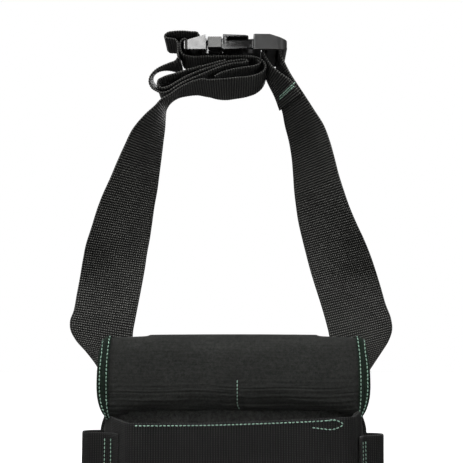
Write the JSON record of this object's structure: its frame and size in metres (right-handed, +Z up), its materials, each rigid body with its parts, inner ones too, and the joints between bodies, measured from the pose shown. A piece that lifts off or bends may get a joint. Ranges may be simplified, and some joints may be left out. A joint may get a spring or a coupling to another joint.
{
  "type": "garden tool bag",
  "caption": "Black waist-worn garden tool bag: open pouch with pockets and side loops under a padded roll, hung on a webbing belt with a side-release buckle.",
  "frame": {"origin": "centre of the pouch's flat bottom, on the ground plane", "axes": "+Z up; the pocket side faces -Y and the wearer's side +Y; +X to the right seen from the front"},
  "size_m": [0.264, 0.0763, 0.4893],
  "materials": {
    "pouch_fabric": "matte woven polyester",
    "roll_fabric": "matte brushed polyester over foam",
    "webbing": "ribbed polypropylene webbing",
    "binding_tape": "matte grosgrain",
    "lining": "coated plain weave",
    "thread": "mint green sewing thread",
    "stiffener_board": "matte polyethylene board",
    "foam": "closed-cell foam",
    "buckle_plastic": "semi-gloss moulded acetal"
  },
  "bodies": {
    "bag": {"back_panel_outer": "pouch_fabric", "back_stiffener": "stiffener_board", "back_panel_lining": "lining", "front_panel": "pouch_fabric", "gusset_left": "pouch_fabric", "gusset_right": "pouch_fabric", "base_panel": "pouch_fabric", "base_stiffener": "stiffener_board", "edge_binding": "binding_tape", "mouth_band": "webbing", "front_pocket": "pouch_fabric", "front_pocket_binding": "binding_tape", "side_loop_left": "webbing", "side_loop_right": "webbing", "tunnel_front": "roll_fabric", "tunnel_foam": "foam", "tunnel_back": "pouch_fabric", "tunnel_hem_left": "roll_fabric", "tunnel_hem_right": "roll_fabric", "roll_stitching": "thread", "mouth_stitching": "thread", "belt_tunnel_web": "webbing"},
    "belt": {"strap_left": "webbing", "strap_right": "webbing", "belt_bundle": "webbing", "belt_tail": "webbing", "buckle_socket": "buckle_plastic"},
    "plug": {"buckle_plug": "buckle_plastic", "strap_right_sewn_end": "webbing"},
    "arm_front": {"latch_arm_front": "buckle_plastic"},
    "arm_rear": {"latch_arm_rear": "buckle_plastic"}
  },
  "joints": [
    {"name": "belt_swing", "type": "hinge", "parent": "bag", "child": "belt", "pos_m": [0, 0.0215, 0.2473], "axis": [-1, 0, 0], "range_deg": [-70, 110]},
    {"name": "buckle_release", "type": "slide", "parent": "belt", "child": "plug", "axis": [1, 0, 0], "range_m": [0, 0.045], "deforming": ["latch_arm_front", "latch_arm_rear"]},
    {"name": "latch_press_front", "type": "hinge", "parent": "plug", "child": "arm_front", "pos_m": [0.0154, -0.0225, 0.4788], "axis": [0, 0, -1], "range_deg": [0, 10], "stiffness_Nm_per_rad": 0.5},
    {"name": "latch_press_rear", "type": "hinge", "parent": "plug", "child": "arm_rear", "pos_m": [0.0154, 0.0225, 0.4788], "axis": [0, 0, 1], "range_deg": [0, 10], "stiffness_Nm_per_rad": 0.5}
  ],
  "couplings": [
    {"joint": "latch_press_rear", "follows": "latch_press_front", "ratio": 1}
  ]
}
